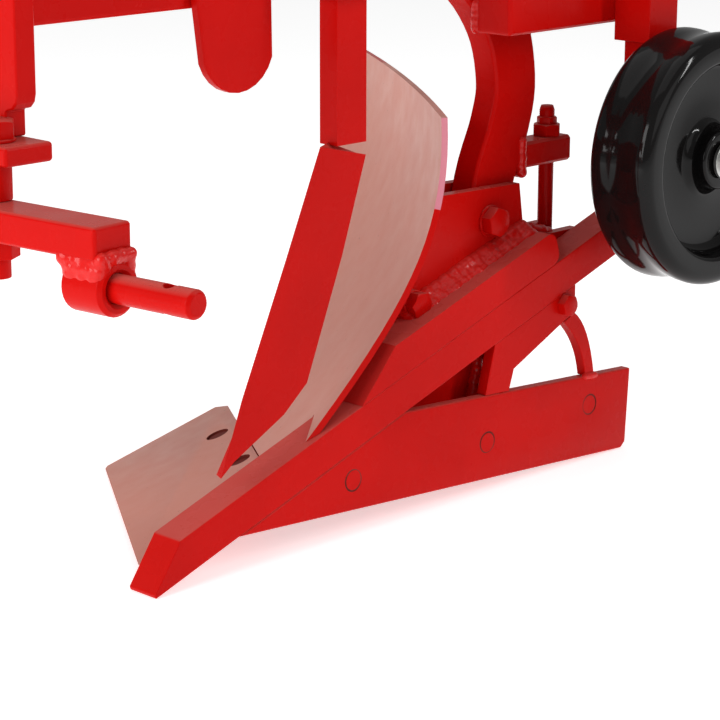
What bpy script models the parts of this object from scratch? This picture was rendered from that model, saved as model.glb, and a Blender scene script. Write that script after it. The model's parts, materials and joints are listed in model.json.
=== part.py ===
"""A single-furrow mounted moldboard plough, standing on its point, its landside heel and its share wing.

Working frame, in metres: +X is the direction of travel, +Y the land side (left), +Z up. The tip of
the bar point is at X = 0 on the floor, and the outer face of the landside is the plane Y = 0. At the
end the whole plough is moved so that the origin lies under the middle of its box.
"""

import math

import bmesh
import bpy
from mathutils import Matrix, Vector

# Fits
GAP = 0.0003
CUT_GAP = 0.0004
EDGE_CHAMFER = 0.0012
ROUND_SIDES = 32

# Bar point, a square bar that runs through the frog
BAR_SIDE = 0.035
BAR_LENGTH = 0.720
BAR_ANGLE = math.radians(18.6)
CHISEL_LENGTH = 0.042
CHISEL_NOSE = 0.004

# Landside, which leans back to its heel on the floor
HEEL_X = -0.648
LANDSIDE_PITCH = math.radians(3.44)
LANDSIDE_HEIGHT = 0.085
LANDSIDE_THICKNESS = 0.012
HEEL_CHAMFER = 0.006

# Frog: two cheek plates either side of the leg, and what holds the bar
FROG_PLATE = 0.012
FROG_TOP = 0.297
FROG_REAR_X = -0.513
FROG_TAIL_X = -0.606
RAIL_HEIGHT = 0.033
RAIL_START = 0.281
RAIL_SLOPE = 0.058
RAIL_END = 0.578
RAIL_ROUNDING = 0.010
FOOT_PLATE = 0.012

# Share
SHARE_THICKNESS = 0.010
SHARE_GRIND = 0.030
SHARE_LEAD = Vector((-0.010, -0.0356, 0.020))
SHARE_WING = Vector((-0.218, -0.332, 0.0))
SHARE_HEEL = Vector((-0.344, -0.285, 0.052))
SHARE_SEAT = 0.012

# Moldboard
MOLDBOARD_THICKNESS = 0.006
MOLDBOARD_BOW = 0.014
SHIN_Y = -0.008
SHIN = ((-0.1503, 0.0710), (-0.325, 0.205), (-0.375, 0.265), (-0.367, 0.379))
TAIL = (
    Vector((-0.2922, -0.2102, 0.0573)),
    Vector((-0.480, -0.320, 0.130)),
    Vector((-0.660, -0.425, 0.270)),
    Vector((-0.690, -0.460, 0.380)),
)
MOLDBOARD_ROWS = 18
MOLDBOARD_COLUMNS = 14
STAY_RADIUS = 0.010

# Beam, one bar that is bent down into the leg
BEAM_WIDTH = 0.030
BEAM_DEPTH = 0.060
BEAM_Z = 0.530
BEAM_PATH = (
    (-0.470, 0.205),
    (-0.489, 0.295),
    (-0.512, 0.350),
    (-0.520, 0.395),
    (-0.503, 0.455),
    (-0.455, 0.508),
    (-0.385, BEAM_Z),
    (-0.300, BEAM_Z),
)
BEAM_STEPS = 5

# Pitch rod behind the leg
ROD_RADIUS = 0.008
ROD_X = -0.5845
ROD_TOP = 0.361
LUG_LOW = 0.304
LUG_HIGH = 0.330
LUG_REAR_X = -0.607
ROD_SEAT_TOP = 0.229
ROD_SEAT = 0.024
NUT_ACROSS = 0.024
NUT_HEIGHT = 0.016

# Knife coulter
COULTER_FACE_Y = 0.004
COULTER_BLADE = 0.012
COULTER_SHANK = 0.022
COULTER_GRIND = 0.022
COULTER_FRONT_X = -0.218
COULTER_REAR_X = -0.255
COULTER_TOP = 0.640
SHANK_FOOT = 0.376
SOCKET_WALL = 0.014
SOCKET_HEIGHT = 0.052

# Headstock and crossbar
HITCH_Y = -0.124
HEADSTOCK_X = 0.193
HEADSTOCK_THICKNESS = 0.019
HEADSTOCK_HALF = 0.225
HEADSTOCK_LOW = 0.462
HEADSTOCK_HIGH = 0.560
LUG_PLATE_Z = 0.426
LUG_PLATE = 0.015
LUG_PLATE_DEPTH = 0.045
LUG_PLATE_REACH = 0.018
LUG_PLATE_LONG = 0.090
CROSSBAR_X = 0.252
CROSSBAR_YAW = math.radians(5.3)
CROSSBAR_DEPTH = 0.038
CROSSBAR_HEIGHT = 0.025
CROSSBAR_TOP = 0.397
CROSSBAR_HALF = 0.336
CROSSBAR_OFFSET = 0.008
CROSSBAR_BOLT = 0.212
SPACER_RADIUS = 0.013
SHOULDER_SPACING = 0.683
BOSS_RADIUS = 0.021
BOSS_LENGTH = 0.041
PIN_RADIUS = 0.011
PIN_REACH = 0.076
LINCH_RADIUS = 0.0055
LINCH_FROM_END = 0.026
CROSSBAR_NUT = 0.030

# Mast, for the top link
MAST_HEIGHT = 0.460
MAST_PLATE = 0.012
MAST_GAP = 0.048
MAST_DEPTH = 0.062
MAST_PIN_X = 0.247
MAST_PIN_RADIUS = 0.0095
STRUT_WIDTH = 0.045
STRUT_PLATE = 0.010
STRUT_FOOT_X = -0.260

# Gauge wheel and its stem
WHEEL_RADIUS = 0.1245
WHEEL_WIDTH = 0.075
WHEEL_X = -0.634
WHEEL_Z = 0.3216
WHEEL_FAR_Y = 0.050
AXLE_RADIUS = 0.0125
AXLE_CLEARANCE = 0.0006
STEM_SIDE = 0.030
STEM_TOP = 0.690
STEM_BELOW_AXLE = 0.025
STEM_CLEARANCE = 0.0006
STEM_SOCKET_WALL = 0.0064
STEM_SOCKET_LOW = 0.430
STEM_SOCKET_HIGH = 0.510
BRACKET_SIDE = 0.046
BRACKET_FRONT_X = -0.455
SCREW_RADIUS = 0.006
SCREW_HEAD = 0.019

# Planes that follow from the sizes above
FROG_LEFT_Y = -BAR_SIDE - GAP
LEG_LEFT_Y = FROG_LEFT_Y - FROG_PLATE - GAP
LEG_RIGHT_Y = LEG_LEFT_Y - BEAM_WIDTH
FROG_RIGHT_Y = LEG_RIGHT_Y - GAP
ROD_Y = (LEG_LEFT_Y + LEG_RIGHT_Y) / 2
STEM_X = WHEEL_X
BRACKET_LEFT_Y = LEG_LEFT_Y + GAP + BRACKET_SIDE
STEM_SOCKET_SIDE = STEM_SIDE + 2 * (STEM_CLEARANCE + STEM_SOCKET_WALL)
STEM_Y = BRACKET_LEFT_Y + GAP + STEM_SOCKET_SIDE / 2
HITCH_Z = CROSSBAR_TOP - CROSSBAR_HEIGHT - GAP - BOSS_RADIUS

RED = (0.62, 0.020, 0.014, 1.0)
DARK_RED = (0.45, 0.016, 0.012, 1.0)
DUSTY_RED = (0.52, 0.24, 0.19, 1.0)
BLACK = (0.012, 0.012, 0.013, 1.0)
STEEL = (0.50, 0.50, 0.50, 1.0)


def clear_scene():
    for old in list(bpy.data.objects):
        bpy.data.objects.remove(old)


def new_collection(name):
    group = bpy.data.collections.new(name)
    bpy.context.scene.collection.children.link(group)
    return group


def paint(piece, colour, roughness=0.3, metallic=0.0):
    """Gives a piece a material of its own."""
    finish = bpy.data.materials.new(piece.name + "_finish")
    finish.use_nodes = True
    shader = finish.node_tree.nodes["Principled BSDF"]
    shader.inputs["Base Color"].default_value = colour
    shader.inputs["Roughness"].default_value = roughness
    shader.inputs["Metallic"].default_value = metallic
    piece.data.materials.append(finish)


def finished(piece, parent, colour=RED):
    """Files a piece with the plough, under its parent, and paints it."""
    for group in list(piece.users_collection):
        group.objects.unlink(piece)
    PLOUGH.objects.link(piece)
    piece.parent = parent
    paint(piece, colour)
    return piece


def as_cutter(piece):
    """Files a solid with the cutters, so that it cuts and is not a part."""
    for group in list(piece.users_collection):
        group.objects.unlink(piece)
    CUTTERS.objects.link(piece)
    piece.hide_render = True
    piece.display_type = "WIRE"
    return piece


def cut(piece, cutter, operation="DIFFERENCE"):
    change = piece.modifiers.new(operation.lower(), "BOOLEAN")
    change.operation = operation
    change.object = cutter
    return piece


def chamfered(piece, width=EDGE_CHAMFER):
    edge = piece.modifiers.new("chamfer", "BEVEL")
    edge.width = width
    edge.segments = 1
    edge.limit_method = "ANGLE"
    edge.angle_limit = math.radians(40)
    return piece


def rounded_shading(piece, angle=35):
    piece.data.shade_smooth()
    piece.data.set_sharp_from_angle(angle=math.radians(angle))
    return piece


def prism(name, outline, thickness, place):
    """A flat outline, in its own X and Y, given half the thickness on each side and then placed."""
    curve = bpy.data.curves.new(name, "CURVE")
    curve.dimensions = "2D"
    curve.fill_mode = "BOTH"
    curve.extrude = thickness / 2
    spline = curve.splines.new("POLY")
    spline.points.add(len(outline) - 1)
    for point, corner in zip(spline.points, outline):
        point.co = (corner[0], corner[1], 0, 1)
    spline.use_cyclic_u = True
    flat = bpy.data.objects.new(name + "_outline", curve)
    bpy.context.scene.collection.objects.link(flat)
    bpy.context.view_layer.update()
    graph = bpy.context.evaluated_depsgraph_get()
    mesh = bpy.data.meshes.new_from_object(flat.evaluated_get(graph))
    bpy.data.objects.remove(flat)
    shape = bmesh.new()
    shape.from_mesh(mesh)
    bmesh.ops.remove_doubles(shape, verts=shape.verts, dist=1e-6)
    bmesh.ops.dissolve_limit(shape, angle_limit=0.001, verts=shape.verts, edges=shape.edges)
    bmesh.ops.transform(shape, matrix=place, verts=shape.verts)
    bmesh.ops.recalc_face_normals(shape, faces=shape.faces)
    shape.to_mesh(mesh)
    shape.free()
    mesh.name = name
    piece = bpy.data.objects.new(name, mesh)
    bpy.context.scene.collection.objects.link(piece)
    return piece


def side_plate(name, outline, y_left, thickness):
    """A plate whose outline is in X and Z, from y_left towards the right."""
    turn = Matrix.Rotation(math.pi / 2, 4, "X")
    return prism(name, outline, thickness, Matrix.Translation((0, y_left - thickness / 2, 0)) @ turn)


def box(name, low, high):
    """A box between two corners."""
    size = [high[i] - low[i] for i in range(3)]
    middle = [(high[i] + low[i]) / 2 for i in range(3)]
    shape = bmesh.new()
    place = Matrix.Translation(middle) @ Matrix.Diagonal((*size, 1))
    bmesh.ops.create_cube(shape, size=1, matrix=place)
    return mesh_piece(name, shape)


def mesh_piece(name, shape):
    mesh = bpy.data.meshes.new(name)
    shape.to_mesh(mesh)
    shape.free()
    piece = bpy.data.objects.new(name, mesh)
    bpy.context.scene.collection.objects.link(piece)
    return piece


def rod_between(name, start, end, radius, sides=ROUND_SIDES):
    """A round rod from one point to another, or a hexagon with six sides."""
    start = Vector(start)
    end = Vector(end)
    along = end - start
    turn = along.to_track_quat("Z", "Y").to_matrix().to_4x4()
    shape = bmesh.new()
    bmesh.ops.create_cone(
        shape,
        cap_ends=True,
        segments=sides,
        radius1=radius,
        radius2=radius,
        depth=along.length,
        matrix=Matrix.Translation((start + end) / 2) @ turn,
    )
    return mesh_piece(name, shape)


def hexagon(name, start, end, across):
    return rod_between(name, start, end, across / math.sqrt(3), 6)


def bezier(points, t):
    """A point on the cubic curve of four control points."""
    weights = ((1 - t) ** 3, 3 * t * (1 - t) ** 2, 3 * t * t * (1 - t), t**3)
    return sum((Vector(p) * w for p, w in zip(points, weights)), Vector([0] * len(points[0])))


def arc(centre, radius, start_deg, end_deg, steps=6):
    angles = [math.radians(start_deg + (end_deg - start_deg) * i / steps) for i in range(steps + 1)]
    return [(centre[0] + radius * math.cos(a), centre[1] + radius * math.sin(a)) for a in angles]


def on_bar(s, t):
    """X and Z of a point s behind the tip along the bar and t above its underside."""
    x = -s * math.cos(BAR_ANGLE) + t * math.sin(BAR_ANGLE)
    return (x, s * math.sin(BAR_ANGLE) + t * math.cos(BAR_ANGLE))


def bar_bottom(x):
    return -x * math.tan(BAR_ANGLE)


def landside_bottom(x):
    return (x - HEEL_X) * math.tan(LANDSIDE_PITCH)


def landside_top(x):
    return landside_bottom(x) + LANDSIDE_HEIGHT / math.cos(LANDSIDE_PITCH)


def under_bar(x):
    return bar_bottom(x) - CUT_GAP / math.cos(BAR_ANGLE)


def crossing(height_a, height_b, low, high):
    """The X where two heights meet, by halving."""
    for _ in range(50):
        middle = (low + high) / 2
        if (height_a(low) - height_b(low)) * (height_a(middle) - height_b(middle)) <= 0:
            high = middle
        else:
            low = middle
    return (low + high) / 2


def moldboard_point(u, v):
    """The soil face of the moldboard: u runs from shin to tail and v from the share to the top."""
    x, z = bezier(SHIN, v)
    shin = Vector((x, SHIN_Y, z))
    bow = Vector((-MOLDBOARD_BOW * 4 * u * (1 - u) * v, 0, 0))
    return shin.lerp(bezier(TAIL, v), u) + bow


def soil_face(y, v):
    """X and Z of the soil face at this Y, for a row v."""
    u = (y - SHIN_Y) / (bezier(TAIL, v).y - SHIN_Y)
    point = moldboard_point(u, v)
    return (point.x, point.z)


def moldboard_sheet(name):
    shape = bmesh.new()
    bmesh.ops.create_grid(
        shape, x_segments=MOLDBOARD_COLUMNS, y_segments=MOLDBOARD_ROWS, size=0.5
    )
    for vert in shape.verts:
        u = vert.co.x + 0.5
        v = vert.co.y + 0.5
        vert.co = moldboard_point(u, v) + Vector((-CUT_GAP, 0, 0))
    return mesh_piece(name, shape)


def thicken(sheet, front, back):
    """Turns the moldboard sheet into a solid that reaches this far in front of and behind it."""
    wall = sheet.modifiers.new("wall", "SOLIDIFY")
    wall.thickness = front + back
    wall.offset = (back - front) / (front + back)
    wall.use_even_offset = False
    return sheet


def make_cutters():
    """The space of the bar, and the space from behind the moldboard's back to well in front of it."""
    envelope = (on_bar(-0.05, -0.08), on_bar(1.0, -0.08), on_bar(1.0, BAR_SIDE + CUT_GAP))
    outline = (*envelope, on_bar(-0.05, BAR_SIDE + CUT_GAP))
    bar_space = as_cutter(side_plate("bar_space", outline, 0.05, 0.05 + BAR_SIDE + CUT_GAP))
    sheet = thicken(moldboard_sheet("moldboard_space"), 0.05, MOLDBOARD_THICKNESS + CUT_GAP)
    return bar_space, as_cutter(sheet)


def make_bar_point(root):
    outline = (
        on_bar(0, 0),
        on_bar(0, CHISEL_NOSE),
        on_bar(CHISEL_LENGTH, BAR_SIDE),
        on_bar(BAR_LENGTH, BAR_SIDE),
        on_bar(BAR_LENGTH, 0),
    )
    finished(side_plate("bar_point", outline, 0, BAR_SIDE), root)


def make_landside(root):
    """The long plate that runs on the furrow wall, cut at the front along the bar."""
    heel = Vector((HEEL_X, 0))
    up = Vector((-math.sin(LANDSIDE_PITCH), math.cos(LANDSIDE_PITCH)))
    forward = Vector((up.y, -up.x))
    front = crossing(landside_bottom, under_bar, -0.02, -0.3)
    top_front = crossing(landside_top, under_bar, -0.02, -0.6)
    outline = (
        heel + forward * HEEL_CHAMFER,
        (front, landside_bottom(front)),
        (top_front, landside_top(top_front)),
        heel + up * LANDSIDE_HEIGHT,
        heel + up * HEEL_CHAMFER,
    )
    finished(chamfered(side_plate("landside", outline, 0, LANDSIDE_THICKNESS)), root)
    base_y = -LANDSIDE_THICKNESS - GAP
    inset = 0.012
    front_x = -0.225
    top_x = crossing(lambda x: landside_top(x) - inset, lambda x: under_bar(x) - 0.004, -0.15, -0.5)
    base = (
        (-0.490, landside_bottom(-0.490) + inset),
        (front_x, landside_bottom(front_x) + inset),
        (front_x, under_bar(front_x) - 0.004),
        (top_x, landside_top(top_x) - inset),
        (-0.490, landside_top(-0.490) - inset),
    )
    thickness = base_y - FROG_LEFT_Y - GAP
    finished(chamfered(side_plate("frog_base", base, base_y, thickness)), root)


def make_frog(root, moldboard_space):
    """Two cheek plates with the leg between them, and the rail, foot and saddle that hold the bar."""
    rear = [
        (-0.230, landside_bottom(-0.230) + 0.012),
        (-0.490, landside_bottom(-0.490) + 0.012),
        (-0.500, 0.105),
        (-0.555, 0.150),
        (FROG_TAIL_X, 0.186),
        (FROG_TAIL_X, ROD_SEAT_TOP + 0.007),
        (-0.563, ROD_SEAT_TOP + 0.007),
        (-0.540, ROD_SEAT_TOP + 0.012),
        (FROG_REAR_X - 0.006, 0.254),
        (FROG_REAR_X, FROG_TOP - 0.003),
    ]
    for name, y in (("frog_plate_left", FROG_LEFT_Y), ("frog_plate_right", FROG_RIGHT_Y)):
        front = [soil_face(y, v / 20) for v in range(14, 1, -2)]
        front = [(x, z) for x, z in front if z < FROG_TOP - 0.01]
        plate = side_plate(name, rear + [(front[0][0] - 0.005, FROG_TOP)] + front, y, FROG_PLATE)
        finished(cut(plate, moldboard_space), root)

    low = BAR_SIDE + GAP
    high = low + RAIL_HEIGHT
    r = RAIL_ROUNDING
    rail = [on_bar(RAIL_START, low), on_bar(RAIL_START + RAIL_SLOPE, high)]
    rail += [on_bar(s, t) for s, t in arc((RAIL_END - r, high - r), r, 90, 0, 4)]
    rail += [on_bar(s, t) for s, t in arc((RAIL_END - r, low + r), r, 0, -90, 4)]
    guide = side_plate("guide_rail", rail, 0, BAR_SIDE)
    finished(cut(guide, moldboard_space), root)

    foot = (
        (-0.441, under_bar(-0.441)),
        (-0.428, landside_top(-0.428) + CUT_GAP),
        (-0.463, landside_top(-0.463) + CUT_GAP),
        (-0.470, 0.118),
        (-0.530, 0.146),
        (-0.562, 0.161),
        (-0.562, under_bar(-0.562)),
    )
    finished(side_plate("frog_foot", foot, -0.001, FOOT_PLATE), root)
    saddle = (
        (-0.455, under_bar(-0.455)),
        (-0.455, 0.125),
        (-0.480, 0.125),
        (-0.530, 0.150),
        (-0.550, 0.160),
        (-0.550, under_bar(-0.550)),
    )
    saddle_y = -0.001 - FOOT_PLATE - GAP
    finished(side_plate("bar_saddle", saddle, saddle_y, saddle_y - FROG_LEFT_Y - GAP), root)


def make_landside_brace(root):
    """The curved strap from the frog's foot down to the landside."""
    seat = 0.0005

    def quadratic(a, b, c, steps=8):
        rows = []
        for i in range(steps + 1):
            t = i / steps
            rows.append(Vector(a) * (1 - t) ** 2 + Vector(b) * 2 * t * (1 - t) + Vector(c) * t * t)
        return rows

    outer = quadratic((-0.5615, 0.1603 - seat), (-0.586, 0.143), (-0.595, landside_top(-0.595) + seat))
    inner = quadratic((-0.581, landside_top(-0.581) + seat), (-0.575, 0.128), (-0.545, 0.1528 - seat))
    finished(side_plate("landside_brace", outer + inner, -0.001, FOOT_PLATE - 0.001), root)


def share_frame():
    """A frame on the share's upper face: X along the cutting edge, Z out of the face."""
    along = (SHARE_WING - SHARE_LEAD).normalized()
    out = along.cross(SHARE_HEEL - SHARE_WING).normalized()
    if out.z < 0:
        out = -out
    across = out.cross(along)
    turn = Matrix((along, across, out)).transposed().to_4x4()
    return Matrix.Translation(SHARE_LEAD) @ turn


def make_share(root, bar_space):
    """The share, ground to an edge from below, and the seat under it."""
    frame = share_frame()
    inverse = frame.inverted()
    wing = inverse @ SHARE_WING
    heel = inverse @ SHARE_HEEL
    along, across = frame.col[0], frame.col[1]
    inner_x = -heel.y * across.y / along.y
    corner = 0.010
    outline = [
        (0, 0),
        (wing.x - corner, 0),
        (wing.x - 0.002, corner * math.copysign(0.3, heel.y)),
        (wing.x, math.copysign(corner, heel.y)),
        (heel.x + 0.002, heel.y - math.copysign(0.012, heel.y)),
        (heel.x - 0.014, heel.y),
        (inner_x, heel.y),
    ]
    half = SHARE_THICKNESS / 2
    share = prism("share", outline, SHARE_THICKNESS, Matrix.Translation((0, 0, -half)))
    for vert in share.data.vertices:
        if vert.co.z < -half and abs(vert.co.y) < SHARE_GRIND:
            vert.co.y = math.copysign(SHARE_GRIND, heel.y)
            if vert.co.x < SHARE_GRIND:
                vert.co.x = vert.co.y * inner_x / heel.y
    share.data.transform(frame)
    share.data.update()
    finished(cut(share, bar_space), root, DUSTY_RED)

    way = math.copysign(1, heel.y)
    depth = -SHARE_THICKNESS - GAP - SHARE_SEAT / 2
    edge = Vector((inner_x, heel.y))
    seat = [
        (edge.x * 0.55 + 0.006, edge.y * 0.55),
        (0.200, edge.y * 0.55),
        (0.200, heel.y - way * 0.006),
        (edge.x * 0.96 + 0.006, heel.y - way * 0.006),
    ]
    place = frame @ Matrix.Translation((0, 0, depth))
    finished(cut(prism("share_seat", seat, SHARE_SEAT, place), bar_space), root)


def make_moldboard(root, bar_space, moldboard_space):
    board = thicken(moldboard_sheet("moldboard"), 0, MOLDBOARD_THICKNESS)
    cut(board, bar_space)
    finished(board, root, DUSTY_RED)
    behind = moldboard_point(0.60, 0.50) + Vector((0.03, 0, 0))
    start = (-0.470, FROG_RIGHT_Y - FROG_PLATE - GAP, 0.160)
    stay = rod_between("moldboard_stay", start, behind, STAY_RADIUS, 20)
    wall_low = (-0.60, start[1], 0.05)
    wall_high = (-0.30, start[1] + 0.05, 0.30)
    cut(stay, moldboard_space)
    cut(stay, as_cutter(box("frog_space", wall_low, wall_high)))
    finished(stay, root)


def smooth_path(points, steps):
    """A smooth run through the points, with this many steps between neighbours."""
    points = [Vector(p) for p in points]
    before = [points[0] * 2 - points[1], *points[:-1]]
    after = [*points[1:], points[-1] * 2 - points[-2]]
    path = []
    for i in range(len(points) - 1):
        a, b, c, d = before[i], points[i], points[i + 1], after[i + 1]
        for j in range(steps):
            t = j / steps
            bend = (a * -1 + b * 3 - c * 3 + d) * t**3 + (a * 2 - b * 5 + c * 4 - d) * t**2
            path.append((bend + (c - a) * t + b * 2) / 2)
    path.append(points[-1])
    return path


def beam_outline(margin=0.0):
    """The outline of the beam and leg in X and Z, this much wider all along."""
    path = smooth_path(BEAM_PATH, BEAM_STEPS)
    path.append(Vector((HEADSTOCK_X - GAP, BEAM_Z)))
    left = []
    right = []
    for i, point in enumerate(path):
        way = (path[min(i + 1, len(path) - 1)] - path[max(i - 1, 0)]).normalized()
        side = Vector((-way.y, way.x)) * (BEAM_DEPTH / 2 + margin)
        left.append(point + side)
        right.append(point - side)
    return left + right[::-1]


def make_beam(root):
    """The beam and leg, one flat bar on edge, bent down behind the moldboard."""
    outline = beam_outline()
    finished(chamfered(side_plate("beam", outline, LEG_LEFT_Y, BEAM_WIDTH), 0.0025), root)

    apex = Vector((-0.139, 0.4665))
    plate = arc(apex, 0.043, 200, 340, 10) + [(-0.085, BEAM_Z + 0.02), (-0.178, BEAM_Z + 0.02)]
    eye = side_plate("beam_eye_plate", plate, LEG_LEFT_Y + GAP + 0.010, 0.010)
    finished(chamfered(eye), root)


def make_pitch_rod(root):
    """The lug on the back of the leg, and the threaded rod that sets the pitch of the body."""
    lug = box("leg_lug", (LUG_REAR_X, LEG_RIGHT_Y, LUG_LOW), (-0.515, LEG_LEFT_Y, LUG_HIGH))
    chamfered(lug, 0.003)
    cut(lug, as_cutter(side_plate("leg_space", beam_outline(CUT_GAP), 0, 0.12)))
    low = (ROD_X, ROD_Y, LUG_LOW - 0.02)
    high = (ROD_X, ROD_Y, LUG_HIGH + NUT_HEIGHT + 0.02)
    hole = as_cutter(rod_between("rod_hole", low, high, ROD_RADIUS + CUT_GAP))
    finished(cut(lug, hole), root)
    seat_low = (FROG_TAIL_X + 0.002, LEG_RIGHT_Y, ROD_SEAT_TOP - ROD_SEAT)
    seat_high = (-0.565, LEG_LEFT_Y, ROD_SEAT_TOP)
    finished(chamfered(box("rod_seat", seat_low, seat_high)), root)
    start = (ROD_X, ROD_Y, ROD_SEAT_TOP + GAP)
    finished(rounded_shading(rod_between("pitch_rod", start, (ROD_X, ROD_Y, ROD_TOP), ROD_RADIUS)), root)
    low = LUG_HIGH + GAP
    nut = hexagon("pitch_nut", (ROD_X, ROD_Y, low), (ROD_X, ROD_Y, low + NUT_HEIGHT), NUT_ACROSS)
    finished(cut(nut, hole), root)


def make_coulter(root):
    """The knife coulter, the socket that clamps it to the beam, and its set screw."""
    front = ((-0.074, 0.094), (-0.100, 0.161), (-0.155, 0.280), (-0.197, SHANK_FOOT - 0.002))
    rear = (
        (COULTER_REAR_X, SHANK_FOOT - 0.016),
        (-0.225, 0.272),
        (-0.180, 0.161),
        (-0.151, 0.137),
        (-0.090, 0.106),
    )
    knife = side_plate("coulter_knife", front + rear, COULTER_FACE_Y - 0.0004, COULTER_BLADE)
    for vert in knife.data.vertices:
        on_edge = any(abs(vert.co.x - x) + abs(vert.co.z - z) < 1e-4 for x, z in front)
        if on_edge and vert.co.y < COULTER_FACE_Y - COULTER_BLADE / 2:
            vert.co.x -= COULTER_GRIND if vert.co.z > front[0][1] + 0.001 else COULTER_GRIND / 4
    as_cutter(knife)
    shank_low = SHANK_FOOT - 0.004
    shank = box(
        "coulter",
        (COULTER_REAR_X, COULTER_FACE_Y - COULTER_SHANK, shank_low),
        (COULTER_FRONT_X, COULTER_FACE_Y, COULTER_TOP),
    )
    finished(cut(shank, knife, "UNION"), root)

    far_y = LEG_LEFT_Y + GAP
    low = (COULTER_REAR_X - SOCKET_WALL, far_y, BEAM_Z - SOCKET_HEIGHT / 2)
    high = (COULTER_FRONT_X + SOCKET_WALL, COULTER_FACE_Y + SOCKET_WALL, BEAM_Z + SOCKET_HEIGHT / 2)
    socket = box("coulter_socket", low, high)
    slot = box(
        "coulter_slot",
        (COULTER_REAR_X - CUT_GAP, COULTER_FACE_Y - COULTER_SHANK - CUT_GAP, 0.4),
        (COULTER_FRONT_X + CUT_GAP, COULTER_FACE_Y + CUT_GAP, 0.7),
    )
    cut(socket, as_cutter(slot))
    middle_x = (COULTER_FRONT_X + COULTER_REAR_X) / 2
    start = (middle_x, COULTER_FACE_Y + GAP, BEAM_Z)
    face = COULTER_FACE_Y + SOCKET_WALL
    set_screw("coulter_set_screw", socket, start, (middle_x, face + GAP, BEAM_Z), root)
    finished(socket, root)


def set_screw(name, socket, tip, seat, parent):
    """A hexagon-headed screw through a socket's wall, and the hole that it goes through."""
    tip = Vector(tip)
    seat = Vector(seat)
    out = (seat - tip).normalized()
    hole = rod_between(name + "_hole", tip - out * 0.002, seat + out * 0.01, SCREW_RADIUS + CUT_GAP, 20)
    cut(socket, as_cutter(hole))
    screw = rod_between(name, tip, seat + out * 0.004, SCREW_RADIUS, 20)
    head = hexagon(name + "_head", seat, seat + out * 0.012, SCREW_HEAD)
    finished(cut(screw, as_cutter(head), "UNION"), parent)


def make_headstock(root):
    """The transverse plate, its two lug plates and the mast for the top link."""
    half = HEADSTOCK_HALF
    tab_out = half - 0.014
    tab_in = half - 0.085
    tab_z = LUG_PLATE_Z + LUG_PLATE + GAP
    r = 0.012
    right_half = arc((-half + r, HEADSTOCK_LOW + r), r, 180, 270, 3)
    right_half += [(-tab_out, HEADSTOCK_LOW), (-tab_out, tab_z), (-tab_in, tab_z), (-tab_in, HEADSTOCK_LOW)]
    left_half = [(-y, z) for y, z in right_half[::-1]]
    outline = right_half + left_half + [(half, HEADSTOCK_HIGH), (-half, HEADSTOCK_HIGH)]
    # Columns: the outline's X is world Y, its Y is world Z, and its Z is world X.
    turn = Matrix(((0, 0, 1, 0), (1, 0, 0, 0), (0, 1, 0, 0), (0, 0, 0, 1)))
    place = Matrix.Translation((HEADSTOCK_X + HEADSTOCK_THICKNESS / 2, HITCH_Y, 0)) @ turn
    finished(chamfered(prism("headstock_plate", outline, HEADSTOCK_THICKNESS, place)), root)

    for side, name in ((1, "left"), (-1, "right")):
        outer = HITCH_Y + side * (half + LUG_PLATE_REACH)
        inner = HITCH_Y + side * (tab_in - 0.030)
        low = (HEADSTOCK_X, min(outer, inner), LUG_PLATE_Z)
        depth = LUG_PLATE_DEPTH if side > 0 else LUG_PLATE_LONG
        high = (HEADSTOCK_X + depth, max(outer, inner), LUG_PLATE_Z + LUG_PLATE)
        finished(chamfered(box("lug_plate_" + name, low, high), 0.002), root)

    pin_z = HITCH_Z + MAST_HEIGHT
    rear = HEADSTOCK_X + HEADSTOCK_THICKNESS + GAP
    plate = [(rear, HEADSTOCK_LOW + 0.008), (rear + MAST_DEPTH, HEADSTOCK_LOW + 0.008)]
    plate += arc((MAST_PIN_X, pin_z), 0.032, 0, 180, 10)
    left_y = HITCH_Y + MAST_GAP / 2 + MAST_PLATE
    right_y = HITCH_Y - MAST_GAP / 2
    strut_y = left_y + GAP + STRUT_PLATE
    hole = rod_between(
        "top_link_hole", (MAST_PIN_X, -0.3, pin_z), (MAST_PIN_X, 0.1, pin_z), MAST_PIN_RADIUS + CUT_GAP
    )
    as_cutter(hole)
    for name, y in (("mast_left", left_y), ("mast_right", right_y)):
        mast = chamfered(side_plate(name, plate, y, MAST_PLATE))
        finished(cut(mast, hole), root)
    make_strut(root, strut_y, pin_z, hole)
    pin = rod_between(
        "top_link_pin", (MAST_PIN_X, right_y - MAST_PLATE - 0.020, pin_z), (MAST_PIN_X, strut_y + 0.006, pin_z), MAST_PIN_RADIUS
    )
    head = rod_between(
        "top_link_pin_head", (MAST_PIN_X, strut_y + GAP, pin_z), (MAST_PIN_X, strut_y + 0.007, pin_z), 0.015
    )
    finished(cut(pin, as_cutter(head), "UNION"), root, STEEL)


def make_strut(root, strut_y, pin_z, hole):
    """The diagonal strut from the top of the mast back to the beam."""
    top = Vector((MAST_PIN_X, pin_z))
    foot = Vector((STRUT_FOOT_X, BEAM_Z))
    lean = math.degrees(math.atan2(top.y - foot.y, top.x - foot.x))
    half = STRUT_WIDTH / 2
    outline = arc(top, half, lean - 90, lean + 90, 8) + arc(foot, half, lean + 90, lean + 270, 8)
    strut = chamfered(side_plate("mast_strut", outline, strut_y, STRUT_PLATE))
    finished(cut(strut, hole), root)


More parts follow.
